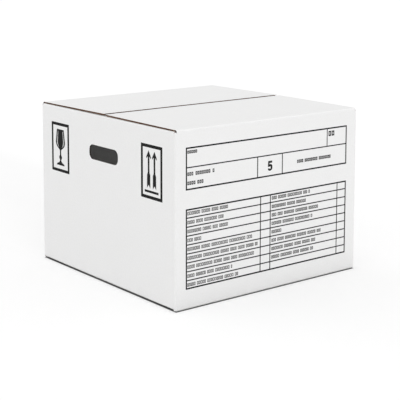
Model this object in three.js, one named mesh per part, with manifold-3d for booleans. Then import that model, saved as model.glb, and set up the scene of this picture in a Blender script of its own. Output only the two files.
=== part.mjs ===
// A moving box of white-lined corrugated board: one folded blank with two hand holes, whose
// outer top flaps are hinged on the front and back panels, and a form printed in dark ink.
// Millimetres, +Z up, origin on the floor at the middle of the box. The form faces -Y.
import * as THREE from "three";
import { mergeVertices } from "three/addons/utils/BufferGeometryUtils.js";
import Module from "manifold-3d";

// The box, outside
const LENGTH = 500; // along X: front and back panels
const WIDTH = 500; // along Y: side panels
const HEIGHT = 362; // floor to the top folds of the outer flaps
const BOARD = 3; // thickness of the board
const CREASE_RADIUS = 0.5; // inside of a fold
const LAYER_GAP = 0.3; // between layers of board that lie on one another
const SEAM_GAP = 5; // between the free edges of two flaps that meet
const FRONT_RIDGE = 1; // how far the free edge of the front top flap springs up
const BACK_RIDGE = 2;
const CREASE_GAP = 0.15; // between the panel and its outer top flap, along the crease
const FLAP_CLEARANCE = 1; // from the ends of the inner flaps to the rounded corners
const LAP_WIDTH = 35; // glue lap that closes the blank, inside the right panel
const LAP_TRIM = 6; // how far the lap stops short of the side panel's folds
const LAP_SINK = 1.5; // how deep the glued lap is sunk into the right panel
const LAP_SETBACK = 1; // of the right panel's cut edge from the back face

// Hand holes, one in each side panel
const HOLE_WIDTH = 108;
const HOLE_HEIGHT = 32;
const HOLE_RADIUS = 13;
const HOLE_DROP = 84.3; // from the top fold to the middle of the hole

// Ink, as a thin film on the board
const INK = 0.2;
const OUTLINE = 3.1; // line around a form
const RULE = 2.4; // line inside a form
const FORM_LEFT = 26; // margins of the forms on the front panel
const FORM_RIGHT = 30;
const FORM_TOP = 36;
const FORM_BOTTOM = 41;
const FORM_GAP = 37.5; // between the header form and the checklist
const HEADER_UPPER = 40.3; // heights of the header's two rows
const HEADER_LOWER = 45;
const NUMBER_CELL = 59.5; // cell at the right end of the upper row
const SIZE_CELL = 186; // cell at the left end of the lower row
const NUMERAL_CELL = 68.5; // cell after it
const CHECK_ROWS = 9;
const TICK_CELL = 27; // boxes to tick at the end of each checklist row

// Plain bars stand where words are printed
const BAR_INDENT = 4; // from the line at the left of a cell
const BAR_HEIGHT = 6.6;
const TALL_BAR_HEIGHT = 9;
const NUMBER_BAR_HEIGHT = 12;
const NUMBER_BAR_LENGTH = 20;
const NAME_BAR_LENGTH = 26;
const NAME_BAR_DROP = 9.5; // from the form's top line to the middle of the bar
const NUMBER_BAR_DROP = 13;
const SIZE_BAR_LENGTH = 72;
const VOLUME_BAR_LENGTH = 42;
const SIZE_BAR_DROP = 13; // from the header's middle line
const VOLUME_BAR_DROP = 31.2;
const CONTENTS_BAR_LENGTH = 105;
// Share of its cell that each checklist bar fills, from the top row down
const LEFT_FILL = [0.54, 0.48, 0.54, 0.18, 0.88, 0.96, 0.92, 0.62, 0.7];
const RIGHT_FILL = [0.57, 0.52, 0.7, 0.63, 0.18, 0.75, 0.68, 0.65];
const NUMERAL_WIDTH = 13;
const NUMERAL_HEIGHT = 21;

// Handling marks on the left panel
const MARK_WIDTH = 72.4;
const MARK_HEIGHT = 110.4;
const MARK_LINE = 6.6;
const MARK_MARGIN = 41.5; // from the vertical fold
const MARK_TOP = 38.8; // from the top fold
const GLASS_HEIGHT = 81;
const GLASS_WIDTH = 37.8;
const ARROW_HEIGHT = 77;
const ARROW_WIDTH = 16.4;
const ARROW_PITCH = 19.7;
const ARROW_BAR_WIDTH = 46.8;
const ARROW_BAR_HEIGHT = 4.8;
const ARROW_BAR_GAP = 3.9;
const ARROW_BAR_RISE = 12.4; // from the foot of the frame to the underside of the bar

const CURVE_STEPS = 8;
const FOLD_RADIUS = CREASE_RADIUS + BOARD;
const FLAP_INSET = FOLD_RADIUS; // the slots between flaps are as wide as the rounded corners
const HALF_LENGTH = LENGTH / 2;
const HALF_WIDTH = WIDTH / 2;
const INNER_TOP = HEIGHT - BOARD - LAYER_GAP; // upper face of the inner top flaps
const INNER_BOTTOM = BOARD + LAYER_GAP; // lower face of the inner bottom flaps
const SIDE_LOW = INNER_BOTTOM + FOLD_RADIUS; // where the side panels' folds begin
const SIDE_HIGH = INNER_TOP - FOLD_RADIUS;
const INNER_END = HALF_WIDTH - FOLD_RADIUS - FLAP_CLEARANCE; // ends of the inner flaps
const LEFTWARD = Math.PI;
const DOWNWARD = 1.5 * Math.PI;
const UPWARD = Math.PI / 2;
const MITRE = 0.75 * Math.PI; // direction of the crease from the centre of its fold

const WHITE_LINER = new THREE.Color(0.85, 0.85, 0.845);
const LINER_ROUGHNESS = 0.75;
const INK_COLOUR = new THREE.Color(0.03, 0.03, 0.03);
const INK_ROUGHNESS = 0.6;

const wasm = await Module();
wasm.setup();

function toSolid(geometry) {
  geometry.deleteAttribute("normal");
  geometry.deleteAttribute("uv");
  const merged = mergeVertices(geometry);
  const vertProperties = new Float32Array(merged.attributes.position.array);
  const triVerts = new Uint32Array(merged.index.array);
  return new wasm.Manifold(new wasm.Mesh({ numProp: 3, vertProperties, triVerts }));
}

function toGeometry(solid) {
  const mesh = solid.getMesh();
  const geometry = new THREE.BufferGeometry();
  geometry.setAttribute("position", new THREE.BufferAttribute(mesh.vertProperties, mesh.numProp));
  geometry.setIndex(new THREE.BufferAttribute(mesh.triVerts, 1));
  return geometry;
}

function named(name, geometry, color, roughness) {
  const finish = new THREE.MeshStandardMaterial({ color, roughness, metalness: 0 });
  const mesh = new THREE.Mesh(geometry, finish);
  mesh.name = name;
  return mesh;
}

function extrude(shape, low, high) {
  const geometry = new THREE.ExtrudeGeometry(shape, {
    depth: high - low,
    bevelEnabled: false,
    curveSegments: CURVE_STEPS,
  });
  return geometry.translate(0, 0, low);
}

// An outline in (y, z), drawn out along X
function alongX(shape, low, high) {
  const turn = new THREE.Matrix4().makeBasis(
    new THREE.Vector3(0, 1, 0),
    new THREE.Vector3(0, 0, 1),
    new THREE.Vector3(1, 0, 0),
  );
  return extrude(shape, low, high).applyMatrix4(turn);
}

// An outline in (x, z), drawn out along Y
function alongY(shape, low, high) {
  return extrude(shape, -high, -low).rotateX(Math.PI / 2);
}

function rectangle(left, low, right, high) {
  const outline = new THREE.Shape();
  outline.moveTo(left, low);
  outline.lineTo(right, low);
  outline.lineTo(right, high);
  outline.lineTo(left, high);
  outline.closePath();
  return outline;
}

// How far the edge beside the crease is turned back, at a radius from the fold's centre
function creaseTurn(radius) {
  return Math.asin(CREASE_GAP / 2 / radius);
}

// The four walls between their folds, seen from above, with the fold that the glue lap hangs on
function wallRing() {
  const lapX = HALF_LENGTH - BOARD - FOLD_RADIUS;
  const foldX = HALF_LENGTH - FOLD_RADIUS;
  const foldY = HALF_WIDTH - FOLD_RADIUS;
  const ring = new THREE.Shape();
  ring.absarc(-foldX, -foldY, FOLD_RADIUS, LEFTWARD, DOWNWARD, false);
  ring.absarc(foldX, -foldY, FOLD_RADIUS, DOWNWARD, 2 * Math.PI, false);
  ring.lineTo(HALF_LENGTH, HALF_WIDTH - LAP_SETBACK);
  ring.lineTo(HALF_LENGTH - BOARD, HALF_WIDTH - LAP_SETBACK);
  ring.absarc(lapX, foldY, FOLD_RADIUS, 0, UPWARD, false);
  ring.absarc(-foldX, foldY, FOLD_RADIUS, UPWARD, LEFTWARD, false);
  const inside = new THREE.Path();
  inside.absarc(-foldX, -foldY, CREASE_RADIUS, LEFTWARD, DOWNWARD, false);
  inside.absarc(foldX, -foldY, CREASE_RADIUS, DOWNWARD, 2 * Math.PI, false);
  inside.lineTo(HALF_LENGTH - BOARD, foldY - FLAP_CLEARANCE / 2);
  inside.lineTo(HALF_LENGTH - 2 * BOARD, foldY - FLAP_CLEARANCE / 2);
  inside.absarc(lapX, foldY, CREASE_RADIUS, 0, UPWARD, false);
  inside.absarc(-foldX, foldY, CREASE_RADIUS, UPWARD, LEFTWARD, false);
  ring.holes.push(inside);
  return toSolid(extrude(ring, SIDE_LOW, SIDE_HIGH));
}

// The glue lap against the inside of the right panel, sunk into it where it is glued
function glueLap() {
  const inner = HALF_LENGTH - 2 * BOARD;
  const free = HALF_WIDTH - FOLD_RADIUS - LAP_WIDTH;
  const outline = rectangle(inner, free, inner + BOARD + LAP_SINK, HALF_WIDTH - FOLD_RADIUS);
  return toSolid(extrude(outline, SIDE_LOW + LAP_TRIM, SIDE_HIGH - LAP_TRIM));
}

// The front panel in section, from its bottom flap up to the crease of its top flap
function frontSection() {
  const foldY = -HALF_WIDTH + FOLD_RADIUS;
  const topZ = HEIGHT - FOLD_RADIUS;
  const section = new THREE.Shape();
  section.absarc(foldY, FOLD_RADIUS, FOLD_RADIUS, DOWNWARD, LEFTWARD, true);
  section.absarc(foldY, topZ, FOLD_RADIUS, LEFTWARD, MITRE + creaseTurn(FOLD_RADIUS), true);
  section.absarc(foldY, topZ, CREASE_RADIUS, MITRE + creaseTurn(CREASE_RADIUS), LEFTWARD, false);
  section.absarc(foldY, FOLD_RADIUS, CREASE_RADIUS, LEFTWARD, DOWNWARD, false);
  section.lineTo(-SEAM_GAP / 2, BOARD);
  section.lineTo(-SEAM_GAP / 2, 0);
  section.closePath();
  return section;
}

// A side panel in section, with its inner flaps folded in at the top and the bottom
function sideSection() {
  const foldX = -HALF_LENGTH + FOLD_RADIUS;
  const section = new THREE.Shape();
  section.absarc(foldX, SIDE_LOW, FOLD_RADIUS, DOWNWARD, LEFTWARD, true);
  section.absarc(foldX, SIDE_HIGH, FOLD_RADIUS, LEFTWARD, UPWARD, true);
  section.lineTo(-SEAM_GAP / 2, INNER_TOP);
  section.lineTo(-SEAM_GAP / 2, INNER_TOP - BOARD);
  section.absarc(foldX, SIDE_HIGH, CREASE_RADIUS, UPWARD, LEFTWARD, false);
  section.absarc(foldX, SIDE_LOW, CREASE_RADIUS, LEFTWARD, DOWNWARD, false);
  section.lineTo(-SEAM_GAP / 2, INNER_BOTTOM + BOARD);
  section.lineTo(-SEAM_GAP / 2, INNER_BOTTOM);
  section.closePath();
  return section;
}

function holeOutline() {
  const middle = HEIGHT - HOLE_DROP;
  const sideY = HOLE_WIDTH / 2 - HOLE_RADIUS;
  const sideZ = HOLE_HEIGHT / 2 - HOLE_RADIUS;
  const hole = new THREE.Shape();
  hole.absarc(sideY, middle - sideZ, HOLE_RADIUS, DOWNWARD, 2 * Math.PI, false);
  hole.absarc(sideY, middle + sideZ, HOLE_RADIUS, 0, UPWARD, false);
  hole.absarc(-sideY, middle + sideZ, HOLE_RADIUS, UPWARD, LEFTWARD, false);
  hole.absarc(-sideY, middle - sideZ, HOLE_RADIUS, LEFTWARD, DOWNWARD, false);
  hole.closePath();
  return hole;
}

// The whole blank but its outer top flaps. The back panel ends earlier, where the lap turns in.
function cartonBody() {
  const flapEnd = HALF_LENGTH - FLAP_INSET;
  const front = toSolid(alongX(frontSection(), -flapEnd, flapEnd));
  const back = toSolid(alongX(frontSection(), BOARD - flapEnd, flapEnd).rotateZ(Math.PI));
  const left = toSolid(alongY(sideSection(), -INNER_END, INNER_END));
  const right = toSolid(alongY(sideSection(), -INNER_END, INNER_END).rotateZ(Math.PI));
  const holes = toSolid(alongX(holeOutline(), -HALF_LENGTH - BOARD, HALF_LENGTH + BOARD));
  const blank = wallRing().add(glueLap()).add(front).add(back).add(left).add(right);
  return named("carton_body", toGeometry(blank.subtract(holes)), WHITE_LINER, LINER_ROUGHNESS);
}

// An outer top flap in section. It springs up a little towards its free edge.
function topFlapSection(ridge) {
  const foldY = -HALF_WIDTH + FOLD_RADIUS;
  const topZ = HEIGHT - FOLD_RADIUS;
  const section = new THREE.Shape();
  section.absarc(foldY, topZ, FOLD_RADIUS, MITRE - creaseTurn(FOLD_RADIUS), UPWARD, true);
  section.lineTo(-SEAM_GAP / 2, HEIGHT + ridge);
  section.lineTo(-SEAM_GAP / 2, HEIGHT + ridge - BOARD);
  section.absarc(foldY, topZ, CREASE_RADIUS, UPWARD, MITRE - creaseTurn(CREASE_RADIUS), false);
  section.closePath();
  return section;
}

function frontTopFlap() {
  const flapEnd = HALF_LENGTH - FLAP_INSET;
  const geometry = alongX(topFlapSection(FRONT_RIDGE), -flapEnd, flapEnd);
  return named("front_top_flap", geometry, WHITE_LINER, LINER_ROUGHNESS);
}

function backTopFlap() {
  const flapEnd = HALF_LENGTH - FLAP_INSET;
  const geometry = alongX(topFlapSection(BACK_RIDGE), BOARD - flapEnd, flapEnd).rotateZ(Math.PI);
  return named("back_top_flap", geometry, WHITE_LINER, LINER_ROUGHNESS);
}

function frontPrint(name, shape) {
  const geometry = alongY(shape, -HALF_WIDTH - INK, -HALF_WIDTH);
  return named(name, geometry, INK_COLOUR, INK_ROUGHNESS);
}

function leftPrint(name, shape) {
  const geometry = alongX(shape, -HALF_LENGTH - INK, -HALF_LENGTH);
  return named(name, geometry, INK_COLOUR, INK_ROUGHNESS);
}

const formLeft = -HALF_LENGTH + FORM_LEFT;
const formRight = HALF_LENGTH - FORM_RIGHT;
const headerTop = HEIGHT - FORM_TOP;
const headerMiddle = headerTop - HEADER_UPPER;
const headerBottom = headerMiddle - HEADER_LOWER;
const checkTop = headerBottom - FORM_GAP;
const rowPitch = (checkTop - FORM_BOTTOM) / CHECK_ROWS;
const columnMiddle = (formLeft + formRight) / 2;
const numberLine = formRight - NUMBER_CELL;
const sizeLine = formLeft + SIZE_CELL;
const numeralLine = sizeLine + NUMERAL_CELL;

// The lines of a form: a sheet of ink between two heights, with its cells cut out. A cell is
// given by the middles of the lines around it, or by the outer edge of the form's outline.
function formGrid(name, formLow, formHigh, cells) {
  const sheet = rectangle(formLeft, formLow, formRight, formHigh);
  let grid = toSolid(alongY(sheet, -HALF_WIDTH - INK, -HALF_WIDTH));
  for (const [left, low, right, high] of cells) {
    const opening = rectangle(
      left + (left === formLeft ? OUTLINE : RULE / 2),
      low + (low === formLow ? OUTLINE : RULE / 2),
      right - (right === formRight ? OUTLINE : RULE / 2),
      high - (high === formHigh ? OUTLINE : RULE / 2),
    );
    grid = grid.subtract(toSolid(alongY(opening, -HALF_WIDTH - 2 * INK, -HALF_WIDTH + INK)));
  }
  return named(name, toGeometry(grid), INK_COLOUR, INK_ROUGHNESS);
}

function headerGrid() {
  return formGrid("header_grid", headerBottom, headerTop, [
    [formLeft, headerMiddle, numberLine, headerTop],
    [numberLine, headerMiddle, formRight, headerTop],
    [formLeft, headerBottom, sizeLine, headerMiddle],
    [sizeLine, headerBottom, numeralLine, headerMiddle],
    [numeralLine, headerBottom, formRight, headerMiddle],
  ]);
}

const rightColumn = columnMiddle;
const leftTick = rightColumn - TICK_CELL;
const rightTick = formRight - TICK_CELL;

function checklistGrid() {
  const lines = [formLeft, leftTick, rightColumn, rightTick, formRight];
  const cells = [];
  for (let row = 0; row < CHECK_ROWS; row += 1) {
    const high = checkTop - row * rowPitch;
    const low = row === CHECK_ROWS - 1 ? FORM_BOTTOM : high - rowPitch;
    for (let column = 0; column < lines.length - 1; column += 1) {
      cells.push([lines[column], low, lines[column + 1], high]);
    }
  }
  return formGrid("checklist_grid", FORM_BOTTOM, checkTop, cells);
}

function textBar(name, left, middle, length, height) {
  return frontPrint(name, rectangle(left, middle - height / 2, left + length, middle + height / 2));
}

function headerBars() {
  const left = formLeft + BAR_INDENT;
  const contentsLeft = (numeralLine + formRight - CONTENTS_BAR_LENGTH) / 2;
  const lowerMiddle = headerMiddle - HEADER_LOWER / 2;
  const numberLeft = numberLine + BAR_INDENT;
  return [
    textBar("name_bar", left, headerTop - NAME_BAR_DROP, NAME_BAR_LENGTH, BAR_HEIGHT),
    textBar("number_bar", numberLeft, headerTop - NUMBER_BAR_DROP, NUMBER_BAR_LENGTH, NUMBER_BAR_HEIGHT),
    textBar("size_bar", left, headerMiddle - SIZE_BAR_DROP, SIZE_BAR_LENGTH, TALL_BAR_HEIGHT),
    textBar("volume_bar", left, headerMiddle - VOLUME_BAR_DROP, VOLUME_BAR_LENGTH, TALL_BAR_HEIGHT),
    textBar("contents_bar", contentsLeft, lowerMiddle, CONTENTS_BAR_LENGTH, BAR_HEIGHT),
  ];
}

function columnBars(side, left, right, fill) {
  const room = right - left - BAR_INDENT;
  return fill.map((share, row) => {
    const middle = checkTop - (row + 0.5) * rowPitch;
    return textBar(`${side}_bar_${row + 1}`, left + BAR_INDENT, middle, room * share, BAR_HEIGHT);
  });
}

// A plain numeral in the header's small cell
function numeral() {
  const w = NUMERAL_WIDTH;
  const h = NUMERAL_HEIGHT;
  const shape = new THREE.Shape();
  shape.moveTo(0.1 * w, h);
  shape.lineTo(0.03 * w, 0.42 * h);
  shape.lineTo(0.36 * w, 0.4 * h);
  shape.bezierCurveTo(0.42 * w, 0.47 * h, 0.62 * w, 0.46 * h, 0.62 * w, 0.32 * h);
  shape.bezierCurveTo(0.62 * w, 0.16 * h, 0.36 * w, 0.16 * h, 0.35 * w, 0.28 * h);
  shape.lineTo(0, 0.25 * h);
  shape.bezierCurveTo(0.02 * w, -0.08 * h, w, -0.1 * h, w, 0.33 * h);
  shape.bezierCurveTo(w, 0.68 * h, 0.6 * w, 0.71 * h, 0.39 * w, 0.64 * h);
  shape.lineTo(0.4 * w, 0.79 * h);
  shape.lineTo(0.93 * w, 0.79 * h);
  shape.lineTo(0.93 * w, h);
  shape.closePath();
  const left = (sizeLine + numeralLine - w) / 2;
  const low = headerMiddle - (HEADER_LOWER + h) / 2;
  const geometry = alongY(shape, -HALF_WIDTH - INK, -HALF_WIDTH).translate(left, 0, low);
  return named("numeral", geometry, INK_COLOUR, INK_ROUGHNESS);
}

const markCentreY = HALF_WIDTH - MARK_MARGIN - MARK_WIDTH / 2;
const markHigh = HEIGHT - MARK_TOP;
const markLow = markHigh - MARK_HEIGHT;

function markFrame(name, centreY) {
  const left = centreY - MARK_WIDTH / 2;
  const right = centreY + MARK_WIDTH / 2;
  const frame = rectangle(left, markLow, right, markHigh);
  frame.holes.push(rectangle(
    left + MARK_LINE,
    markLow + MARK_LINE,
    right - MARK_LINE,
    markHigh - MARK_LINE,
  ));
  return leftPrint(name, frame);
}

// A stem glass with a knop: a dark bowl, with a thin pale line down each side
function glassMark() {
  const w = GLASS_WIDTH / 2;
  const h = GLASS_HEIGHT;
  const glass = new THREE.Shape();
  glass.moveTo(-0.88 * w, 0);
  glass.lineTo(0.88 * w, 0);
  glass.bezierCurveTo(0.8 * w, 0.08 * h, 0.3 * w, 0.04 * h, 0.14 * w, 0.14 * h);
  glass.bezierCurveTo(0.14 * w, 0.17 * h, 0.3 * w, 0.18 * h, 0.3 * w, 0.22 * h);
  glass.bezierCurveTo(0.3 * w, 0.26 * h, 0.14 * w, 0.27 * h, 0.14 * w, 0.3 * h);
  glass.lineTo(0.13 * w, 0.41 * h);
  glass.bezierCurveTo(0.34 * w, 0.49 * h, 1.08 * w, 0.5 * h, w, 0.66 * h);
  glass.lineTo(0.76 * w, h);
  glass.lineTo(-0.76 * w, h);
  glass.lineTo(-w, 0.66 * h);
  glass.bezierCurveTo(-1.08 * w, 0.5 * h, -0.34 * w, 0.49 * h, -0.13 * w, 0.41 * h);
  glass.lineTo(-0.14 * w, 0.3 * h);
  glass.bezierCurveTo(-0.14 * w, 0.27 * h, -0.3 * w, 0.26 * h, -0.3 * w, 0.22 * h);
  glass.bezierCurveTo(-0.3 * w, 0.18 * h, -0.14 * w, 0.17 * h, -0.14 * w, 0.14 * h);
  glass.bezierCurveTo(-0.3 * w, 0.04 * h, -0.8 * w, 0.08 * h, -0.88 * w, 0);
  const low = markLow + (MARK_HEIGHT - h) / 2;
  let solid = toSolid(alongX(glass, -HALF_LENGTH - INK, -HALF_LENGTH));
  for (const side of [-1, 1]) {
    const strip = new THREE.Shape();
    strip.moveTo(side * 0.48 * w, 0.95 * h);
    strip.lineTo(side * 0.55 * w, 0.95 * h);
    strip.lineTo(side * 0.72 * w, 0.66 * h);
    strip.bezierCurveTo(side * 0.74 * w, 0.58 * h, side * 0.56 * w, 0.53 * h, side * 0.36 * w, 0.5 * h);
    strip.bezierCurveTo(side * 0.48 * w, 0.54 * h, side * 0.63 * w, 0.6 * h, side * 0.6 * w, 0.68 * h);
    strip.closePath();
    solid = solid.subtract(toSolid(alongX(strip, -HALF_LENGTH - 2 * INK, -HALF_LENGTH + INK)));
  }
  const geometry = toGeometry(solid).translate(0, markCentreY, low);
  return named("glass_mark", geometry, INK_COLOUR, INK_ROUGHNESS);
}

// An upright arrow with a barbed head and a forked tail
function arrow(name, centreY) {
  const w = ARROW_WIDTH / 2;
  const h = ARROW_HEIGHT;
  const half = [
    [0, h],
    [w, 0.82 * h],
    [0.84 * w, 0.78 * h],
    [0.34 * w, 0.84 * h],
    [0.34 * w, 0.42 * h],
    [0.66 * w, 0.35 * h],
    [0.68 * w, 0],
    [0, 0.09 * h],
  ];
  const otherHalf = half.slice(1, -1).reverse().map(([across, up]) => [-across, up]);
  const points = [...half, ...otherHalf].map(([across, up]) => new THREE.Vector2(across, up));
  const shape = new THREE.Shape(points);
  const low = markLow + ARROW_BAR_RISE + ARROW_BAR_HEIGHT + ARROW_BAR_GAP;
  const geometry = alongX(shape, -HALF_LENGTH - INK, -HALF_LENGTH).translate(0, centreY, low);
  return named(name, geometry, INK_COLOUR, INK_ROUGHNESS);
}

function arrowBar() {
  const left = -markCentreY - ARROW_BAR_WIDTH / 2;
  const low = markLow + ARROW_BAR_RISE;
  return leftPrint("arrow_bar", rectangle(left, low, left + ARROW_BAR_WIDTH, low + ARROW_BAR_HEIGHT));
}

const box = new THREE.Group();
box.add(cartonBody(), frontTopFlap(), backTopFlap());
box.add(headerGrid(), checklistGrid(), numeral(), ...headerBars());
box.add(...columnBars("left", formLeft, leftTick, LEFT_FILL));
box.add(...columnBars("right", rightColumn, rightTick, RIGHT_FILL));
box.add(markFrame("glass_frame", markCentreY), glassMark());
box.add(markFrame("arrow_frame", -markCentreY));
box.add(arrow("arrow_back", -markCentreY + ARROW_PITCH / 2));
box.add(arrow("arrow_front", -markCentreY - ARROW_PITCH / 2), arrowBar());

export default box;
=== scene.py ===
import math
import random

import bmesh
import bpy
import numpy as np
from mathutils import Matrix, Vector


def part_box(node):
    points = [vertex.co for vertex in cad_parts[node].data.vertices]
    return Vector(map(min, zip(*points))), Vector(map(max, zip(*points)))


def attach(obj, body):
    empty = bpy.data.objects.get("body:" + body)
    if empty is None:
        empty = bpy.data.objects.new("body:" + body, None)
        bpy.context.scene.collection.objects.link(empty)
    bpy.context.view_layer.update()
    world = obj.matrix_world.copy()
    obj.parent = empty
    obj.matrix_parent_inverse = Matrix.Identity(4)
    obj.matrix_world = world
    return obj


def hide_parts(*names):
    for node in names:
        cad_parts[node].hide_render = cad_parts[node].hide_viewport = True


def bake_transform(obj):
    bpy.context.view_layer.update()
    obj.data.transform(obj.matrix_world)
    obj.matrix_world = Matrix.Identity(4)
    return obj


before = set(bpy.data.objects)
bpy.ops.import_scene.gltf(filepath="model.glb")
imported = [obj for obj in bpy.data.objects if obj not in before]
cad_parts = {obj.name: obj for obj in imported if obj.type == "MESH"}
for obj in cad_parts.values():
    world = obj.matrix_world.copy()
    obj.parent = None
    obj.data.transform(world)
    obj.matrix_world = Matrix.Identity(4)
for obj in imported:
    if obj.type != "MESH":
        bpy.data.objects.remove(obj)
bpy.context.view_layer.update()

MM = 0.001

# The carton, in millimetres
HALF = 250.0  # outside, both ways
HEIGHT = 362.0  # floor to the top folds of the outer flaps
FRONT_RIDGE = 1.0  # how far the free edges of the outer top flaps spring up
BACK_RIDGE = 2.0
BOARD = 3.0
FOLD_OUTER = 3.5  # a fold's radius, outside and inside
FOLD_INNER = 0.5
SEAM = 2.5  # from the middle to a free edge
FOLD = HALF - FOLD_OUTER  # centre of a fold, and the ends of the outer flaps
BACK_FLAP_END = FOLD - BOARD  # end of the back flap over the glue lap
INNER_TOP = 358.7  # upper face of the inner top flaps
INNER_BOTTOM = 3.3  # lower face of the inner bottom flaps
SIDE_LOW = INNER_BOTTOM + FOLD_OUTER  # centres of the side panels' folds
SIDE_HIGH = INNER_TOP - FOLD_OUTER
INNER_END = 245.5  # ends of the inner flaps
CREASE_REACH = 243.0  # the crease pieces end here on the flap, and at SIDE_HIGH on the panel
CREASE_INSET = 0.3  # of a crease's ends, which are painted near black as shade, from the ends of its flap
LAP_X = HALF - 2 * BOARD  # inner face of the glue lap
RAW_EDGE = HALF - 1.0  # the right panel's cut edge, beside the lap's fold
LIFT = 0.6  # how far the bottom folds spring up off the floor
SLOT_LOW = 2.6  # the corner folds end here, at the slots between the flaps
SLOT_HIGH = 357.5

# The board's section
LINER = 0.3
MEDIUM = 0.22  # thickness of the fluted sheet
FLUTE_PITCH = 6.4
FLUTE_LEAN = 1.2  # of the flutes across their sheet, so its cut side shows them come and go
FLUTE_MARGIN = 0.3  # from the fluted sheet's sides to the board's
FLUTE_END = 0.4  # from the flutes' ends to a cut edge
SOLID_EDGE = 8.0  # the board stays whole this close to a fold

# The hand holes
HOLE_HALF_WIDTH = 54.0
HOLE_HALF_HEIGHT = 16.0
HOLE_RADIUS = 13.0
HOLE_MIDDLE = 277.7
HOLE_MARGIN = 14.0  # the board is hollow this far around a hand hole

INK = 0.05  # how far the ink stands out of the board, and goes into it
CAD_INK = 0.2  # how far it stands out in the CAD

# How finely the shapes are divided
STEPS_PER_FLUTE = 12
CORNER_STEPS = 12  # in a quarter turn
BEND_STEPS = 14  # around a top crease
STRAIGHT_STEPS = 6  # on each side of a top crease
SHARP_ANGLE = math.radians(30)  # an edge that turns further than this stays sharp

# How far a cutter runs past what it cuts
PAST = 1.0
FAR_PAST = 12.0
SLIGHTLY_PAST = 0.02  # so that its side isn't in the plane of the flap's cut edge


def new_object(name, mesh):
    obj = bpy.data.objects.new(name, mesh)
    bpy.context.scene.collection.objects.link(obj)
    return obj


def mesh_from(name, points, faces):
    mesh = bpy.data.meshes.new(name)
    mesh.from_pydata([tuple(c * MM for c in p) for p in points], [], faces)
    mesh.validate()
    return mesh


def quarter(first=0):
    """The angles of a quarter turn, from a first one in degrees."""
    return [math.radians(first + 90 * step / CORNER_STEPS) for step in range(CORNER_STEPS + 1)]


class Shape:
    """Points and faces in millimetres, gathered before they become a mesh."""

    def __init__(self):
        self.points = []
        self.faces = []

    def add(self, points, faces):
        first = len(self.points)
        self.points.extend(points)
        self.faces.extend([tuple(i + first for i in f) for f in faces])

    def hexahedron(self, corners):
        """Four corners around the lower face, then the four above them."""
        sides = [(i, (i + 1) % 4, (i + 1) % 4 + 4, i + 4) for i in range(4)]
        self.add(corners, [(0, 3, 2, 1), (4, 5, 6, 7)] + sides)

    def block(self, low, high):
        (x0, y0, z0), (x1, y1, z1) = low, high
        self.hexahedron([
            (x0, y0, z0), (x1, y0, z0), (x1, y1, z0), (x0, y1, z0),
            (x0, y0, z1), (x1, y0, z1), (x1, y1, z1), (x0, y1, z1),
        ])

    def prism(self, outline, along, low, high):
        """An outline of pairs, drawn out along axis 0, 1 or 2; the pairs fill the other axes."""
        n = len(outline)

        def place(pair, depth):
            p = list(pair)
            p.insert(along, depth)
            return tuple(p)

        points = [place(p, low) for p in outline] + [place(p, high) for p in outline]
        faces = [tuple(range(n))[::-1], tuple(range(n, 2 * n))]
        faces += [(i, (i + 1) % n, n + (i + 1) % n, n + i) for i in range(n)]
        self.add(points, faces)

    def wave(self, start, end, place, low, high, lean=0.0):
        """The fluted medium: a sine sheet from start to end, whose flutes run from low to high.
        place(across, rise, along) gives a point; rise is measured from the middle of the board."""
        start += lean
        end -= lean
        steps = max(STEPS_PER_FLUTE, round((end - start) / FLUTE_PITCH * STEPS_PER_FLUTE))
        amplitude = BOARD / 2 - LINER - MEDIUM / 2
        first = len(self.points)
        for i in range(steps + 1):
            s = start + (end - start) * i / steps
            phase = 2 * math.pi * s / FLUTE_PITCH
            mid = amplitude * math.sin(phase)
            slope = amplitude * math.cos(phase) * 2 * math.pi / FLUTE_PITCH
            half = min(MEDIUM / 2 * math.sqrt(1 + slope * slope), MEDIUM)
            self.points += [
                place(s + lean, mid - half, low), place(s + lean, mid + half, low),
                place(s - lean, mid + half, high), place(s - lean, mid - half, high),
            ]
        for i in range(steps):
            a = first + 4 * i
            b = a + 4
            for k in range(4):
                self.faces.append((a + k, a + (k + 1) % 4, b + (k + 1) % 4, b + k))
        self.faces.append((first, first + 3, first + 2, first + 1))
        last = first + 4 * steps
        self.faces.append((last, last + 1, last + 2, last + 3))

    def mesh(self, name):
        mesh = mesh_from(name, self.points, self.faces)
        bm = bmesh.new()
        bm.from_mesh(mesh)
        bmesh.ops.recalc_face_normals(bm, faces=bm.faces)
        bm.to_mesh(mesh)
        bm.free()
        return mesh


WELD = 1e-6  # metres
FLAT_ANGLE = math.radians(0.05)


def node_mesh(node):
    """A welded copy of a node's mesh, without its materials."""
    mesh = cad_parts[node].data.copy()
    mesh.name = node + "_shape"
    mesh.materials.clear()
    bm = bmesh.new()
    bm.from_mesh(mesh)
    bmesh.ops.remove_doubles(bm, verts=bm.verts, dist=WELD)
    bmesh.ops.dissolve_limit(bm, angle_limit=FLAT_ANGLE, verts=bm.verts, edges=bm.edges)
    bm.to_mesh(mesh)
    bm.free()
    return mesh


def apply_modifiers(obj):
    graph = bpy.context.evaluated_depsgraph_get()
    graph.update()
    result = bpy.data.meshes.new_from_object(obj.evaluated_get(graph))
    old = obj.data
    obj.modifiers.clear()
    obj.data = result
    bpy.data.meshes.remove(old)


def carve(obj, cutter_mesh):
    """Takes the cutter's volume out of the object."""
    cutter = new_object("cutter", cutter_mesh)
    cut = obj.modifiers.new("cut", "BOOLEAN")
    cut.operation = "DIFFERENCE"
    cut.solver = "EXACT"
    cut.object = cutter
    apply_modifiers(obj)
    bpy.data.objects.remove(cutter)
    bpy.data.meshes.remove(cutter_mesh)


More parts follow.
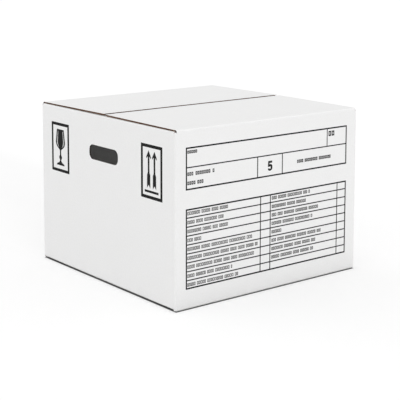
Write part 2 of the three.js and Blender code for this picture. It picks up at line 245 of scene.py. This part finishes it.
def shade_folds(mesh):
    """Smooth shading over the folds, with sharp cut edges."""
    bm = bmesh.new()
    bm.from_mesh(mesh)
    for f in bm.faces:
        f.smooth = True
    for e in bm.edges:
        e.smooth = len(e.link_faces) == 2 and e.calc_face_angle(0.0) < SHARP_ANGLE
    bm.to_mesh(mesh)
    bm.free()


def soften(obj):
    """Shades the folds smooth and keeps the panels beside them flat."""
    shade_folds(obj.data)
    weigh = obj.modifiers.new("weigh", "WEIGHTED_NORMAL")
    weigh.mode = "FACE_AREA"
    weigh.weight = 100
    weigh.keep_sharp = True
    apply_modifiers(obj)


# Which surface of the board a face belongs to

OUTSIDE, INSIDE, EDGE, PAINTED_SHADE = 0, 1, 2, 3  # an edge painted near black, as shade

FACING = 0.95  # least cosine between a face's normal and the way that its surface looks
NEAR_PLANE = 0.02  # a face this close to a surface belongs to it
NEAR_FOLD = 0.06
NEAR_FLAP = 0.05
ACROSS_FOLD = 0.9  # the normals of a fold's faces lie across its axis
FOLD_CENTRE = 0.3  # no face of a fold is this close to its centre
BESIDE_FLAP = 0.1  # a face this far past the end of a flap, fold or hole still counts as its own
BESIDE_FOLD = 1.0
BESIDE_HOLE = 1.0
LEVEL = 0.5  # a face whose normal rises more than this lies on a flap

LYING = (  # height, the way that the face looks, and its surface
    (0.0, -1, OUTSIDE), (BOARD, 1, INSIDE),
    (INNER_BOTTOM, -1, OUTSIDE), (INNER_BOTTOM + BOARD, 1, INSIDE),
    (INNER_TOP, 1, OUTSIDE), (INNER_TOP - BOARD, -1, INSIDE),
)
FOLDS = [(2, (sx * FOLD, sy * FOLD)) for sx in (-1, 1) for sy in (-1, 1)]
FOLDS += [(2, (BACK_FLAP_END, FOLD))]
FOLDS += [(0, (sy * FOLD, FOLD_OUTER)) for sy in (-1, 1)]
FOLDS += [(1, (sx * FOLD, z)) for sx in (-1, 1) for z in (SIDE_LOW, SIDE_HIGH)]


def on_plane(centre, normal, axis, value, direction):
    return abs(centre[axis] - value) < NEAR_PLANE and normal[axis] * direction > FACING


def on_fold(centre, normal, axis, at):
    """OUTSIDE or INSIDE for a face of a fold around an axis, else None."""
    a, b = [i for i in range(3) if i != axis]
    offset = Vector((centre[a] - at[0], centre[b] - at[1]))
    across = Vector((normal[a], normal[b]))
    if across.length < ACROSS_FOLD or offset.length < FOLD_CENTRE:
        return None
    turn = offset.normalized().dot(across.normalized())
    if abs(offset.length - FOLD_OUTER) < NEAR_FOLD and turn > FACING:
        return OUTSIDE
    if abs(offset.length - FOLD_INNER) < NEAR_FOLD and turn < -FACING:
        return INSIDE
    return None


def carton_surface(centre, normal):
    for axis in (0, 1):
        for side in (-1, 1):
            if on_plane(centre, normal, axis, side * HALF, side):
                return OUTSIDE
            if on_plane(centre, normal, axis, side * (HALF - BOARD), -side):
                return INSIDE
    if on_plane(centre, normal, 0, LAP_X, -1):
        return INSIDE
    for value, direction, surface in LYING:
        if on_plane(centre, normal, 2, value, direction):
            return surface
    for axis, at in FOLDS:
        surface = on_fold(centre, normal, axis, at)
        if surface is not None:
            return surface
    beside_hole = abs(centre[1]) < HOLE_HALF_WIDTH + BESIDE_HOLE
    at_height = abs(centre[2] - HOLE_MIDDLE) < HOLE_HALF_HEIGHT + BESIDE_HOLE
    # The cut rims of the hand holes are painted near black, as shade
    return PAINTED_SHADE if beside_hole and at_height and abs(centre[0]) > FOLD else EDGE


def corner_surface(centre, normal):
    """As on the carton, with white upper ends."""
    return OUTSIDE if normal[2] > FACING else carton_surface(centre, normal)


def flute_axis(centre, normal):
    """The axis across the flutes at a face: X on the front and back panels and their flaps."""
    if abs(normal[2]) > LEVEL:
        inner_flap = INNER_BOTTOM - BESIDE_FLAP < centre[2] < INNER_TOP + BESIDE_FLAP
        return 1 if inner_flap and abs(centre[2] - BOARD) > BESIDE_FLAP else 0
    return 1 if abs(centre[0]) > abs(centre[1]) else 0


def dress(mesh, *materials):
    """Materials, and the places at rest that they read."""
    mesh.materials.clear()
    for material in materials:
        mesh.materials.append(material)
    rest = mesh.attributes.new("rest", "FLOAT_VECTOR", "POINT")
    coordinates = np.empty(len(mesh.vertices) * 3)
    mesh.vertices.foreach_get("co", coordinates)
    rest.data.foreach_set("vector", coordinates)


def dress_board(mesh, surface_of):
    """Materials by surface, and the distances across the flutes."""
    dress(mesh, WHITE_LINER, INNER_LINER, CUT_EDGE, PAINTED_SHADE_EDGE)
    across = np.zeros(len(mesh.loops))
    for polygon in mesh.polygons:
        centre = polygon.center / MM
        polygon.material_index = surface_of(centre, polygon.normal)
        axis = flute_axis(centre, polygon.normal)
        for loop in polygon.loop_indices:
            across[loop] = mesh.vertices[mesh.loops[loop].vertex_index].co[axis]
    layer = mesh.attributes.new("across", "FLOAT", "CORNER")
    layer.data.foreach_set("value", across)


# Materials

class Nodes:
    """The node tree of a material or world, written as one line for each node."""

    def __init__(self, owner):
        owner.use_nodes = True
        self.owner = owner
        self.tree = owner.node_tree
        self.tree.nodes.clear()

    def put(self, socket, value):
        if isinstance(value, bpy.types.NodeSocket):
            self.tree.links.new(value, socket)
        else:
            socket.default_value = value

    def node(self, kind, *values, **inputs):
        """Values fill the first inputs in order, and the others go by name."""
        n = self.tree.nodes.new(kind)
        for socket, value in zip(n.inputs, values):
            self.put(socket, value)
        for key, value in inputs.items():
            self.put(n.inputs[key.replace("_", " ")], value)
        return n

    def math(self, operation, *values):
        n = self.node("ShaderNodeMath", *values)
        n.operation = operation
        return n.outputs[0]

    def chain(self, operation, first, *others):
        for value in others:
            first = self.math(operation, first, value)
        return first

    def times(self, *values):
        return self.chain("MULTIPLY", *values)

    def plus(self, *values):
        return self.chain("ADD", *values)

    def minus(self, *values):
        return self.chain("SUBTRACT", *values)

    def attribute(self, name, output):
        n = self.node("ShaderNodeAttribute")
        n.attribute_type = "GEOMETRY"
        n.attribute_name = name
        return n.outputs[output]

    def axes(self, vector):
        return self.node("ShaderNodeSeparateXYZ", vector).outputs[:3]

    def stretched(self, vector, scale):
        n = self.node("ShaderNodeVectorMath", vector, scale)
        n.operation = "MULTIPLY"
        return n.outputs[0]

    def noise(self, vector, scale, detail, roughness=0.5):
        n = self.node(
            "ShaderNodeTexNoise", Vector=vector, Scale=scale, Detail=detail, Roughness=roughness)
        return n.outputs["Fac"]

    def spread(self, value, low, high, to_low, to_high):
        n = self.node("ShaderNodeMapRange", value, low, high, to_low, to_high)
        n.clamp = True
        return n.outputs[0]

    def mix(self, factor, a, b):
        n = self.tree.nodes.new("ShaderNodeMix")
        n.data_type = "RGBA"
        for index, value in ((0, factor), (6, a), (7, b)):
            self.put(n.inputs[index], value)
        return n.outputs[2]

    def mix_shaders(self, factor, a, b):
        return self.node("ShaderNodeMixShader", factor, a, b).outputs[0]

    def for_camera(self, others, camera):
        """One shader for the camera's own rays and one for all the others."""
        path = self.node("ShaderNodeLightPath")
        return self.mix_shaders(path.outputs["Is Camera Ray"], others, camera)

    def bump(self, height, distance):
        n = self.node("ShaderNodeBump", Strength=1.0, Distance=distance, Height=height)
        return n.outputs[0]

    def finish(self, colour, roughness, normal, specular, glow=0.0):
        n = self.node(
            "ShaderNodeBsdfPrincipled", Base_Color=colour, Roughness=roughness,
            Specular_IOR_Level=specular, Normal=normal)
        # glow is painted light: a faint emission on a surface that is no lamp
        if glow > 0.0:
            self.put(n.inputs["Emission Color"], grey(1.0))
            self.put(n.inputs["Emission Strength"], glow)
        self.node("ShaderNodeOutputMaterial", n.outputs[0])
        return self.owner


def grey(value, tint=(1.0, 1.0, 1.0)):
    return (value * tint[0], value * tint[1], value * tint[2], 1.0)


# The parts of a noise's range over which one colour turns into another
PAPER_TURN = (0.36, 0.64)
KRAFT_TURN = (0.35, 0.65)
INK_TURN = (0.35, 0.65)
PORE_TURN = (0.66, 0.82)
ROUGHNESS_TURN = (0.3, 0.7)

# Relief, in metres
FLUTE_RELIEF = 0.000012
FIBRE_RELIEF = 0.00003
FORMATION_RELIEF = 0.00004
KRAFT_RELIEF = 0.00008
INK_RELIEF = 0.00003

# Fibres to the metre, along each axis
LINER_FIBRES = (2600.0, 2600.0, 900.0)
KRAFT_FIBRES = (3000.0, 3000.0, 1200.0)

# The liner's white follows its clouds by this share, and its formation by the rest
CLOUD_SHARE = 0.2
KRAFT_SHARE = 0.5  # of the coarse noise, and of the fine one
PORE_STRENGTH = 0.25
ROUGHNESS_REACH = 0.05

# Specks: their size in cells, where they are left in, and their strength
SPECK_SIZE = (0.05, 0.12)
SPECK_LIMIT = 0.66
SPECK_STRENGTH = 0.5

# Cut edges low down, in metres: pale grey instead of brown up to a few millimetres above the
# floor, and near black with painted contact shade right by the floor
EDGE_X = (0.236, 0.24)  # only near the left and right sides
LOW_GREY_Z = (0.004, 0.005)
SHADED_Z = (0.001, 0.0018)
LOW_GREY = 0.65
SHADED_GREY = 0.045
LOW_EDGE_SHARE = 0.9


def liner_material(name, bright, dull, speck, roughness, glow=0.0):
    """A white liner, which shows the flutes under it very faintly."""
    m = Nodes(bpy.data.materials.new(name))
    rest = m.attribute("rest", "Vector")
    across = m.attribute("across", "Fac")
    clouds = m.noise(rest, scale=16.0, detail=3.0, roughness=0.55)
    formation = m.noise(rest, scale=260.0, detail=3.0, roughness=0.6)
    fibres = m.noise(m.stretched(rest, LINER_FIBRES), scale=1.0, detail=3.0, roughness=0.6)
    blend = m.plus(m.times(clouds, CLOUD_SHARE), m.times(formation, 1.0 - CLOUD_SHARE))
    colour = m.mix(m.spread(blend, *PAPER_TURN, 0.0, 1.0), dull, bright)
    grain = m.node("ShaderNodeTexVoronoi", Vector=rest, Scale=420.0)
    spot = m.spread(grain.outputs["Distance"], *SPECK_SIZE, 1.0, 0.0)
    rare = m.math("GREATER_THAN", m.noise(rest, scale=190.0, detail=0.0), SPECK_LIMIT)
    colour = m.mix(m.times(spot, rare, SPECK_STRENGTH), colour, speck)
    flute = m.math("SINE", m.times(across, 2 * math.pi / (FLUTE_PITCH * MM)))
    height = m.plus(
        m.times(flute, FLUTE_RELIEF), m.times(fibres, FIBRE_RELIEF),
        m.times(formation, FORMATION_RELIEF))
    rough = m.spread(
        formation, *ROUGHNESS_TURN, roughness - ROUGHNESS_REACH, roughness + ROUGHNESS_REACH)
    return m.finish(colour, rough, m.bump(height, 1.0), specular=0.25, glow=glow)


def kraft_material(name, light, dark, roughness):
    """Brown paper where the board is cut."""
    m = Nodes(bpy.data.materials.new(name))
    rest = m.attribute("rest", "Vector")
    coarse = m.noise(rest, scale=300.0, detail=3.0, roughness=0.6)
    fine = m.noise(m.stretched(rest, KRAFT_FIBRES), scale=1.0, detail=2.0, roughness=0.6)
    blend = m.plus(m.times(coarse, KRAFT_SHARE), m.times(fine, KRAFT_SHARE))
    colour = m.mix(m.spread(blend, *KRAFT_TURN, 0.0, 1.0), dark, light)
    x, _, z = m.axes(rest)
    far_out = m.spread(m.math("ABSOLUTE", x), *EDGE_X, 0.0, LOW_EDGE_SHARE)
    # The low cut edges turn pale grey, and then near black with painted contact shade right by the
    # floor
    for reach, value in ((LOW_GREY_Z, LOW_GREY), (SHADED_Z, SHADED_GREY)):
        low_down = m.spread(z, *reach, 1.0, 0.0)
        colour = m.mix(m.times(low_down, far_out), colour, grey(value))
    return m.finish(colour, roughness, m.bump(blend, KRAFT_RELIEF), specular=0.2)


def ink_material(name):
    """Black ink with pale pores, on paper."""
    m = Nodes(bpy.data.materials.new(name))
    rest = m.attribute("rest", "Vector")
    patch = m.noise(rest, scale=180.0, detail=3.0, roughness=0.6)
    pores = m.noise(rest, scale=2400.0, detail=2.0, roughness=0.6)
    colour = m.mix(m.spread(patch, *INK_TURN, 0.0, 1.0), grey(0.006), grey(0.011))
    colour = m.mix(m.spread(pores, *PORE_TURN, 0.0, PORE_STRENGTH), colour, grey(0.25))
    rough = m.spread(patch, *ROUGHNESS_TURN, 0.6, 0.72)
    return m.finish(colour, rough, m.bump(pores, INK_RELIEF), specular=0.15)


WHITE_LINER = liner_material(
    "white_liner", bright=grey(0.875), dull=grey(0.85, (1.0, 0.998, 0.992)),
    speck=grey(0.62, (1.0, 0.95, 0.88)), roughness=0.7)
# The inner liner glows faintly: painted light, which lifts the shade inside the hand holes
INNER_LINER = liner_material(
    "inner_liner", bright=grey(0.83, (1.0, 0.995, 0.985)), dull=grey(0.79, (1.0, 0.993, 0.98)),
    speck=grey(0.5, (1.0, 0.9, 0.8)), roughness=0.8, glow=0.01)
CUT_EDGE = kraft_material(
    "cut_edge", light=(0.27, 0.16, 0.105, 1.0), dark=(0.17, 0.095, 0.062, 1.0), roughness=0.85)
# Near black brown: painted shade, for the cut rims of the hand holes and the cut sides of the
# creases
PAINTED_SHADE_EDGE = kraft_material(
    "painted_shade_edge", light=(0.05, 0.031, 0.023, 1.0), dark=(0.032, 0.02, 0.015, 1.0), roughness=0.9)
FLUTED_MEDIUM = kraft_material(
    "fluted_medium", light=(0.27, 0.15, 0.095, 1.0), dark=(0.17, 0.09, 0.056, 1.0), roughness=0.85)
PRINTING_INK = ink_material("printing_ink")


# The blank up to the creases of its outer top flaps

def hole_outline(margin):
    outline = []
    for sy, sz, first in ((1, -1, -90), (1, 1, 0), (-1, 1, 90), (-1, -1, 180)):
        middle_y = sy * (HOLE_HALF_WIDTH - HOLE_RADIUS)
        middle_z = HOLE_MIDDLE + sz * (HOLE_HALF_HEIGHT - HOLE_RADIUS)
        for a in quarter(first):
            y = middle_y + (HOLE_RADIUS + margin) * math.cos(a)
            z = middle_z + (HOLE_RADIUS + margin) * math.sin(a)
            outline.append((y, z))
    return outline


def carton_cuts():
    """The outer top flaps' creases, and the hollows between the liners."""
    cuts = Shape()
    inner = FOLD - SOLID_EDGE
    wide = HOLE_HALF_WIDTH + HOLE_MARGIN
    tall = HOLE_HALF_HEIGHT + HOLE_MARGIN
    for side in (-1, 1):
        low, high = sorted((side * FOLD, side * (HALF + FAR_PAST)))
        cuts.block(
            (-FOLD - SLIGHTLY_PAST, low, SIDE_HIGH),
            (FOLD + SLIGHTLY_PAST, high, HEIGHT + FAR_PAST))
        near, far = sorted((side * (SEAM - PAST), side * inner))
        for low in (INNER_TOP - BOARD, INNER_BOTTOM):
            cuts.block(
                (near, -INNER_END - PAST, low + LINER),
                (far, INNER_END + PAST, low + BOARD - LINER))
        cuts.block((-HALF + PAST, near, LINER), (HALF - PAST, far, BOARD - LINER))
        near, far = sorted((side * (HALF - BOARD + LINER), side * (HALF - LINER)))
        cuts.block((near, -wide, HOLE_MIDDLE - tall), (far, wide, HOLE_MIDDLE + tall))
    cuts.block(
        (HALF - BOARD + LINER, FOLD + FLUTE_MARGIN, SIDE_LOW - PAST),
        (HALF - LINER, HALF + PAST, SIDE_HIGH + PAST))
    return cuts.mesh("cuts")


def settle(mesh):
    """Stands the box on its seam: the bottom folds spring up a little off the floor."""
    for v in mesh.vertices:
        y, z = abs(v.co.y) / MM, v.co.z / MM
        if z < INNER_BOTTOM - BESIDE_FLAP:
            v.co.z += LIFT * MM * min(y / FOLD, 1.0)
        elif z < SIDE_LOW + BESIDE_FOLD:
            v.co.z += LIFT * MM


def corner_ends():
    """The corner folds between the creases and the slots, above and below. The lower ones close
    the gaps beside the inner flaps, except on the corner with the lap."""
    shape = Shape()
    for sx, sy, centre in ((-1, -1, FOLD), (-1, 1, FOLD), (1, -1, FOLD), (1, 1, BACK_FLAP_END)):
        outline = []
        for radius, angles in ((FOLD_OUTER, quarter()), (FOLD_INNER, reversed(quarter()))):
            for a in angles:
                x = centre + radius * math.cos(a)
                y = FOLD + radius * math.sin(a)
                outline.append((sx * x, sy * y))
        shape.prism(outline, 2, SIDE_HIGH, SLOT_HIGH)
        if centre == FOLD:
            for radius in (FOLD_INNER, FOLD_OUTER):
                outline.append((sx * (centre + radius), sy * INNER_END))
        shape.prism(outline, 2, SLOT_LOW, SIDE_LOW + LIFT)
    for low, high in ((SLOT_LOW, SIDE_LOW + LIFT), (SIDE_HIGH, SLOT_HIGH)):
        shape.block((HALF - BOARD, FOLD, low), (HALF, RAW_EDGE, high))
    return shape.mesh("corner_ends")


carton = new_object("carton_board", node_mesh("carton_body"))
carve(carton, carton_cuts())
dress_board(carton.data, carton_surface)
settle(carton.data)
soften(carton)
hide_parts("carton_body")
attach(carton, "carton")
corners = new_object("corner_ends", corner_ends())
dress_board(corners.data, corner_surface)
soften(corners)
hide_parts("carton_body")
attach(corners, "carton")


# The outer top flaps and their creases

def flap_rise(distance, ridge):
    """How far an outer top flap has sprung up, at a distance from its fold."""
    return ridge * distance / (FOLD - SEAM)


def top_flap(name, node, body, side, x_high, ridge):
    """One outer top flap beyond its crease: two liners and, between them, the open flutes."""
    shape = Shape()

    def slab(far, near, low, high):
        corners = []
        for z in (low, high):
            for x, y in ((-FOLD, far), (x_high, far), (x_high, near), (-FOLD, near)):
                corners.append((x, side * y, HEIGHT - BOARD + z + flap_rise(FOLD - y, ridge)))
        shape.hexahedron(corners)

    whole = FOLD - SOLID_EDGE
    slab(CREASE_REACH, whole, 0.0, BOARD)
    slab(whole, SEAM, 0.0, LINER)
    slab(whole, SEAM, BOARD - LINER, BOARD)
    obj = new_object(name, shape.mesh(name))

    def surface(centre, normal):
        up = centre[2] - (HEIGHT - BOARD) - flap_rise(FOLD - abs(centre[1]), ridge)
        if normal[2] > FACING and up > BOARD - NEAR_FLAP:
            return OUTSIDE
        if normal[2] < -FACING and up < NEAR_FLAP:
            return INSIDE
        return EDGE

    dress_board(obj.data, surface)
    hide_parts(node)
    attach(obj, body)
    fluting = Shape()

    def place(across, rise, along):
        z = HEIGHT - BOARD / 2 + rise + flap_rise(FOLD - along, ridge)
        return (across, side * along, z)

    fluting.wave(
        -FOLD + FLUTE_MARGIN, x_high - FLUTE_MARGIN, place, whole, SEAM + FLUTE_END, FLUTE_LEAN)
    medium = new_object(name + "_fluting", fluting.mesh(name + "_fluting"))
    dress(medium.data, FLUTED_MEDIUM)
    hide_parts(node)
    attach(medium, body)


top_flap("front_flap_board", "front_top_flap", "front_flap", -1, FOLD, FRONT_RIDGE)
top_flap("back_flap_board", "back_top_flap", "back_flap", 1, BACK_FLAP_END, BACK_RIDGE)


def crease_path(ridge):
    """From the panel over the fold to the flap: the way outward, and the centre, as Y and Z."""
    fold_z = HEIGHT - FOLD_OUTER
    path = []
    for step in range(STRAIGHT_STEPS):
        z = SIDE_HIGH + (fold_z - SIDE_HIGH) * step / STRAIGHT_STEPS
        path.append((1.0, 0.0, FOLD, z))
    for step in range(BEND_STEPS + 1):
        a = math.radians(90 * step / BEND_STEPS)
        path.append((math.cos(a), math.sin(a), FOLD, fold_z))
    for step in range(1, STRAIGHT_STEPS + 1):
        distance = (FOLD - CREASE_REACH) * step / STRAIGHT_STEPS
        path.append((0.0, 1.0, FOLD - distance, fold_z + flap_rise(distance, ridge)))
    return path


def crease(name, node, side, x_high, ridge):
    """The board around a top crease."""
    path = crease_path(ridge)
    points = []
    for x in (-FOLD + CREASE_INSET, x_high - CREASE_INSET):
        for radius in (FOLD_OUTER, FOLD_INNER):
            for dy, dz, y, z in path:
                points.append((x, side * (y + radius * dy), z + radius * dz))
    n = len(path)
    faces = []
    surfaces = []
    for i in range(n - 1):
        j = i + 1
        faces.append((i, j, 2 * n + j, 2 * n + i))
        faces.append((n + i, 3 * n + i, 3 * n + j, n + j))
        faces.append((i, n + i, n + j, j))
        faces.append((2 * n + i, 2 * n + j, 3 * n + j, 3 * n + i))
        # The crease's cut sides are painted near black, as shade
        surfaces += [OUTSIDE, INSIDE, PAINTED_SHADE, PAINTED_SHADE]
    last = n - 1
    faces += [(0, 2 * n, 3 * n, n), (last, n + last, 3 * n + last, 2 * n + last)]
    surfaces += [EDGE, EDGE]
    if side < 0:
        faces = [f[::-1] for f in faces]
    obj = new_object(name, mesh_from(name, points, faces))
    shade_folds(obj.data)
    kinds = iter(surfaces)
    dress_board(obj.data, lambda centre, normal: next(kinds))
    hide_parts(node)
    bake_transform(obj)


crease("front_crease", "front_top_flap", -1, FOLD, FRONT_RIDGE)
crease("back_crease", "back_top_flap", 1, BACK_FLAP_END, BACK_RIDGE)


# The fluted medium wherever a cut edge shows it

def carton_fluting():
    """In the inner flaps, in the outer bottom flaps, and along the right panel's raw edge."""
    shape = Shape()
    inner = FOLD - SOLID_EDGE
    for side in (-1, 1):
        for low in (INNER_TOP - BOARD, INNER_BOTTOM):
            def lying(across, rise, along):
                return (side * along, across, low + BOARD / 2 + rise)

            shape.wave(
                -INNER_END + FLUTE_MARGIN, INNER_END - FLUTE_MARGIN,
                lying, inner, SEAM + FLUTE_END, FLUTE_LEAN)
        end = FOLD if side < 0 else BACK_FLAP_END

        def outer(across, rise, along):
            return (across, side * along, BOARD / 2 + rise)

        shape.wave(
            -FOLD + FLUTE_MARGIN, end - FLUTE_MARGIN, outer, inner, SEAM + FLUTE_END, FLUTE_LEAN)

    def upright(across, rise, along):
        return (HALF - BOARD / 2 + rise, across, along)

    shape.wave(FOLD + FLUTE_MARGIN, RAW_EDGE - FLUTE_END, upright, SIDE_LOW, SIDE_HIGH)
    return shape.mesh("carton_fluting")


fluting = new_object("carton_fluting", carton_fluting())
settle(fluting.data)
dress(fluting.data, FLUTED_MEDIUM)
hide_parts("carton_body")
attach(fluting, "carton")


def hole_fluting(name, side):
    """The flutes around one hand hole, cut back a little from its rim."""
    shape = Shape()
    wide = HOLE_HALF_WIDTH + HOLE_MARGIN
    tall = HOLE_HALF_HEIGHT + HOLE_MARGIN

    def upright(across, rise, along):
        return (side * (HALF - BOARD / 2) + rise, across, along)

    shape.wave(-wide, wide, upright, HOLE_MIDDLE - tall, HOLE_MIDDLE + tall)
    obj = new_object(name, shape.mesh(name))
    hole = Shape()
    low, high = sorted((side * (HALF - BOARD - PAST), side * (HALF + PAST)))
    hole.prism(hole_outline(FLUTE_END), 0, low, high)
    carve(obj, hole.mesh("hole"))
    # The flutes in a hole's rim are painted near black, as shade
    dress(obj.data, PAINTED_SHADE_EDGE)
    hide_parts("carton_body")
    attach(obj, "carton")


hole_fluting("left_hole_fluting", -1)
hole_fluting("right_hole_fluting", 1)


# Ink

WORD_LENGTHS = (3, 9)  # in letters
SIDE_SHARE = 0.38  # of a box's width, for each of its sides at most


def flat_ink(node, axis):
    """A printed shape, as thin as ink. Axis is the one that it faces along."""
    mesh = node_mesh(node)
    face = -HALF * MM
    for v in mesh.vertices:
        in_front = v.co[axis] < face - CAD_INK * MM / 2
        v.co[axis] = face - INK * MM if in_front else face + INK * MM
    obj = new_object(node + "_ink", mesh)
    dress(obj.data, PRINTING_INK)
    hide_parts(node)
    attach(obj, "carton")


def mark(shape, left, low, width, height, stroke):
    """One small open box, where a letter is printed."""
    side = min(stroke, SIDE_SHARE * width)
    right, high = left + width, low + height
    outer = [(left, low), (right, low), (right, high), (left, high)]
    inner = [
        (left + side, low + stroke), (right - side, low + stroke),
        (right - side, high - stroke), (left + side, high - stroke),
    ]
    points = [(x, y, z) for y in (-HALF - INK, -HALF + INK) for x, z in outer + inner]
    faces = []
    for i in range(4):
        j = (i + 1) % 4
        faces.append((i, j, 4 + j, 4 + i))
        faces.append((8 + i, 12 + i, 12 + j, 8 + j))
        faces.append((i, 8 + i, 8 + j, j))
        faces.append((4 + i, 4 + j, 12 + j, 12 + i))
    shape.add(points, faces)


def words(node, seed, height=6.2, stroke=1.15, letter=(3.0, 4.6), gap=0.75, space=3.2):
    """A row of small open boxes in words, filling a bar's place."""
    low, high = (Vector(v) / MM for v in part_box(node))
    rng = random.Random(seed)
    shape = Shape()
    bottom = high.z - (high.z - low.z) / 2 - height / 2
    x = low.x
    left_in_word = rng.randint(*WORD_LENGTHS)
    while x + letter[0] < high.x:
        width = min(rng.uniform(*letter), high.x - x)
        mark(shape, x, bottom, width, height, stroke)
        x += width + gap
        left_in_word -= 1
        if left_in_word == 0:
            x += space
            left_in_word = rng.randint(*WORD_LENGTHS)
    obj = new_object(node + "_ink", shape.mesh(node + "_ink"))
    dress(obj.data, PRINTING_INK)
    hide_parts(node)
    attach(obj, "carton")


for node in ("header_grid", "checklist_grid", "numeral"):
    flat_ink(node, 1)
for node in ("glass_frame", "glass_mark", "arrow_frame", "arrow_back", "arrow_front", "arrow_bar"):
    flat_ink(node, 0)
for row in range(1, 10):
    words(f"left_bar_{row}", 100 + row, height=6.9, stroke=1.25)
for row in range(1, 9):
    words(f"right_bar_{row}", 200 + row, height=6.9, stroke=1.4)
words("name_bar", 301, stroke=1.7)
words("number_bar", 302, height=11.0, stroke=2.8, letter=(7.2, 8.2), gap=1.8)
words("size_bar", 303, height=7.2, stroke=2.0, letter=(3.6, 5.0), gap=1.0, space=5.0)
words("volume_bar", 304, height=7.2, stroke=2.2, letter=(3.6, 5.0), gap=1.0, space=4.0)
words("contents_bar", 305, height=7.0, stroke=2.3)


# The floor, in metres

FLOOR_REACH = 60.0
FLOOR_DROP = 0.0002  # below the box, so that the two don't touch
FLOOR_WHITE = 0.75  # for the light that the floor sends back
GLOW = 1.13
GLOW_SHARE = 0.3  # of what the camera sees; the rest is lit paper

# Shade in front of the box: how deep it is, and how far it reaches
FOOT_SHADE, FOOT_REACH = 0.45, 0.03
BROAD_SHADE, BROAD_REACH = 0.045, 0.35
CONTACT_SHADE, CONTACT_REACH = 0.06, 0.012
UNDER_FADE = 0.01  # it fades out under the box and beside it
SIDE_FADE = 0.02
BROAD_SIDE_FADE = 0.15

# Under the box, and right along its foot, the floor is painted dark, as shade
BRIGHT_IN = 0.002  # it is bright from this far in from the sides
BRIGHT_OUT = 0.0005  # and this far out from the front and the back
GLOW_START = (-0.0005, 0.002)  # over these distances the glow and the paper's white come in
PALE_START = (-0.001, 0.0015)
UNDER_BOX = 0.2  # what is left of the white under the box


def stage_floor():
    """White paper under the box, in soft contact shade along the front panel's foot."""
    mesh = bpy.data.meshes.new("floor")
    around = ((-1, -1), (1, -1), (1, 1), (-1, 1))
    corners = [(sx * FLOOR_REACH, sy * FLOOR_REACH, 0.0) for sx, sy in around]
    mesh.from_pydata(corners, [], [(0, 1, 2, 3)])
    floor = new_object("floor", mesh)
    floor.location.z = -FLOOR_DROP
    m = Nodes(bpy.data.materials.new("floor_paper"))
    x, y, _ = m.axes(m.node("ShaderNodeTexCoord").outputs["Object"])
    half = HALF * MM
    ahead = m.math("MAXIMUM", m.minus(m.times(y, -1.0), half), 0.0)
    outside_x = m.minus(m.math("ABSOLUTE", x), half)
    outside_y = m.minus(m.math("ABSOLUTE", y), half)
    beyond = m.math(
        "MAXIMUM", m.plus(outside_x, BRIGHT_IN), m.minus(outside_y, BRIGHT_OUT))
    beside = m.spread(outside_x, 0.0, SIDE_FADE, 1.0, 0.0)
    in_front = m.times(beside, m.spread(y, -half, -half + UNDER_FADE, 1.0, 0.0))

    def fading(distance, reach):
        return m.math("EXPONENT", m.times(distance, -1.0 / reach))

    foot = m.times(fading(ahead, FOOT_REACH), in_front)
    diffuse = m.node(
        "ShaderNodeBsdfDiffuse", Color=m.minus(FLOOR_WHITE, m.times(foot, FOOT_SHADE)))
    to_right = m.times(
        m.spread(x, -half, 0.0, 0.0, 1.0), m.spread(x, half, half + BROAD_SIDE_FADE, 1.0, 0.0))
    broad = m.times(fading(ahead, BROAD_REACH), to_right, BROAD_SHADE)
    contact = m.times(fading(ahead, CONTACT_REACH), in_front, CONTACT_SHADE)
    shade = m.minus(1.0, m.plus(broad, contact))
    white = m.spread(beyond, *PALE_START, UNDER_BOX, 1.0)
    pale = m.node("ShaderNodeBsdfDiffuse", Color=m.times(shade, white))
    glow = m.node(
        "ShaderNodeEmission", Color=grey(1.0),
        Strength=m.times(shade, GLOW, m.spread(beyond, *GLOW_START, 0.0, 1.0)))
    seen = m.mix_shaders(GLOW_SHARE, pale.outputs[0], glow.outputs[0])
    m.node("ShaderNodeOutputMaterial", m.for_camera(diffuse.outputs[0], seen))
    mesh.materials.append(m.owner)


stage_floor()


# The light

SKY_OVERHEAD = 0.74
SKY_LOW = 0.71  # how much more comes from the horizon
SKY_FRONT = 0.205  # and from the front and the left
SKY_LEFT = 0.04


def studio_world():
    """Soft light from all around: brighter low down than overhead, and brightest in front."""
    world = bpy.data.worlds.new("studio")
    bpy.context.scene.world = world
    m = Nodes(world)
    x, y, z = m.axes(m.node("ShaderNodeTexCoord").outputs["Generated"])
    strength = m.plus(
        SKY_OVERHEAD, m.times(m.minus(1.0, z), SKY_LOW), m.times(y, -SKY_FRONT),
        m.times(x, -SKY_LEFT))
    around = m.node("ShaderNodeBackground", Color=grey(1.0), Strength=strength)
    behind = m.node("ShaderNodeBackground", Color=grey(1.0), Strength=1.0)
    m.node("ShaderNodeOutputWorld", m.for_camera(around.outputs[0], behind.outputs[0]))


studio_world()


# The camera, as fitted to the photograph, in metres

AZIMUTH = math.radians(-38.389)
ELEVATION = math.radians(7.005)
ROLL = math.radians(0.121)
TARGET = Vector((0.008865, 0.0, 0.416632))
DISTANCE = 2.529237
FOCAL = 1133.986 / 400.0  # focal length as a share of the picture's width
SENSOR = 36.0
SHIFT = -0.3
SIGHT = 200.0  # how far it sees

back_axis = Vector((
    math.sin(AZIMUTH) * math.cos(ELEVATION),
    -math.cos(AZIMUTH) * math.cos(ELEVATION),
    math.sin(ELEVATION),
))
level = Vector((math.cos(AZIMUTH), math.sin(AZIMUTH), 0.0))
upright_axis = back_axis.cross(level)
right_axis = level * math.cos(ROLL) + upright_axis * math.sin(ROLL)
up_axis = upright_axis * math.cos(ROLL) - level * math.sin(ROLL)
camera_data = bpy.data.cameras.new("camera")
camera_data.sensor_width = SENSOR
camera_data.lens = SENSOR * FOCAL
camera_data.shift_y = SHIFT
camera_data.clip_end = SIGHT
camera = new_object("camera", camera_data)
rotation = Matrix((right_axis, up_axis, back_axis)).transposed()
camera.matrix_world = Matrix.Translation(TARGET + back_axis * DISTANCE) @ rotation.to_4x4()
bpy.context.scene.camera = camera

bpy.context.scene.view_settings.view_transform = "Standard"
